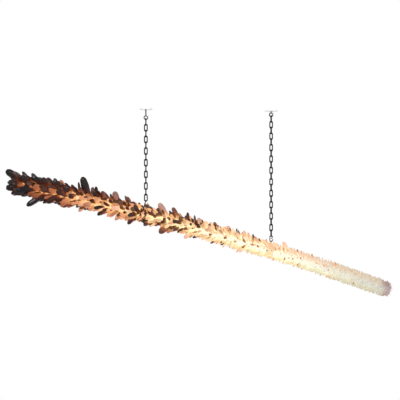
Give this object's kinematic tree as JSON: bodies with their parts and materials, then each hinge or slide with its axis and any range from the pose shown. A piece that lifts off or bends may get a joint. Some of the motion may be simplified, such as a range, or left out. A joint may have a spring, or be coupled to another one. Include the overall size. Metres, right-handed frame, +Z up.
{
  "type": "chandelier",
  "caption": "Slanted linear chandelier: a lit tube covered with crystal points, hung from the ceiling on two link chains.",
  "frame": {"origin": "on the ceiling, midway between the two ceiling plates", "axes": "+X towards the low end of the stem, +Z up, -Y the front"},
  "size_m": [1.9385, 0.1323, 0.948],
  "materials": {
    "black_steel": "blackened, satin",
    "white_enamel": "satin enamel",
    "zinc_steel": "zinc plated",
    "core_aluminium": "extruded",
    "led_strip": "lit phosphor",
    "white_plastic": "matt",
    "black_plastic": "matt",
    "lead_sheath": "matt",
    "opal_diffuser": "opal, lit",
    "smoky_crystal": "smoky, faceted",
    "rose_crystal": "rose, faceted",
    "clear_crystal": "clear, faceted"
  },
  "bodies": {
    "ceiling": {"ceiling_plate_left": "white_enamel", "ceiling_plate_right": "white_enamel", "ceiling_hook_left": "black_steel", "ceiling_hook_right": "black_steel"},
    "top_link_left": {"top_link_left": "black_steel"},
    "top_link_right": {"top_link_right": "black_steel"},
    "chain_left": {"chain_left": "black_steel"},
    "chain_right": {"chain_right": "black_steel"},
    "bottom_link_left": {"bottom_link_left": "black_steel"},
    "lower_hook_right": {"lower_hook_right": "black_steel"},
    "stem": {"eye_bolt_left": "black_steel", "eye_bolt_right": "black_steel", "collar_upper_left": "black_steel", "collar_lower_left": "black_steel", "collar_upper_right": "black_steel", "collar_lower_right": "black_steel", "collar_screws": "zinc_steel", "collar_nuts": "zinc_steel", "core_bar": "core_aluminium", "led_strips": "led_strip", "spacer_discs": "white_plastic", "diffuser_left": "opal_diffuser", "diffuser_middle": "opal_diffuser", "diffuser_right": "opal_diffuser", "end_cap_left": "black_steel", "end_cap_right": "black_steel", "end_cap_screws": "zinc_steel", "cable_gland": "black_plastic", "feed_lead": "lead_sheath", "large_smoky_points": "smoky_crystal", "large_rose_points": "rose_crystal", "smoky_points_left": "smoky_crystal", "rose_points_left": "rose_crystal", "clear_points_left": "clear_crystal", "smoky_points_middle": "smoky_crystal", "rose_points_middle": "rose_crystal", "clear_points_middle": "clear_crystal", "smoky_points_right": "smoky_crystal", "rose_points_right": "rose_crystal", "clear_points_right": "clear_crystal", "left_tip_points": "smoky_crystal", "right_tip_points": "rose_crystal"}
  },
  "joints": [
    {"name": "swing", "type": "hinge", "parent": "ceiling", "child": "top_link_left", "pos_m": [-0.315, 0, -0.0535], "axis": [0.9994, 0, 0.0357], "range_deg": [-20, 20]},
    {"name": "swing_right", "type": "hinge", "parent": "ceiling", "child": "top_link_right", "pos_m": [0.315, 0, -0.031], "axis": [0.9994, 0, 0.0357], "range_deg": [-20, 20]},
    {"name": "sway", "type": "hinge", "parent": "top_link_left", "child": "chain_left", "pos_m": [-0.315, 0, -0.08265], "axis": [0, 1, 0], "range_deg": [-10, 10]},
    {"name": "sway_right", "type": "hinge", "parent": "top_link_right", "child": "chain_right", "pos_m": [0.315, 0, -0.06015], "axis": [0, 1, 0], "range_deg": [-6, 6]},
    {"name": "sway_link", "type": "hinge", "parent": "chain_left", "child": "bottom_link_left", "pos_m": [-0.315, 0, -0.42765], "axis": [0, 1, 0], "range_deg": [-10, 10]},
    {"name": "sway_hook", "type": "hinge", "parent": "chain_right", "child": "lower_hook_right", "pos_m": [0.315, 0, -0.63515], "axis": [0, 1, 0], "range_deg": [-6, 6]},
    {"name": "roll", "type": "hinge", "parent": "bottom_link_left", "child": "stem", "pos_m": [-0.315, 0, -0.4564], "axis": [0.9515, 0, -0.3075], "range_deg": [-15, 15]}
  ],
  "couplings": [
    {"joint": "swing_right", "follows": "swing", "ratio": 1},
    {"joint": "sway_right", "follows": "sway", "ratio": 0.6},
    {"joint": "sway_link", "follows": "sway", "ratio": -1},
    {"joint": "sway_hook", "follows": "sway", "ratio": -0.6}
  ]
}
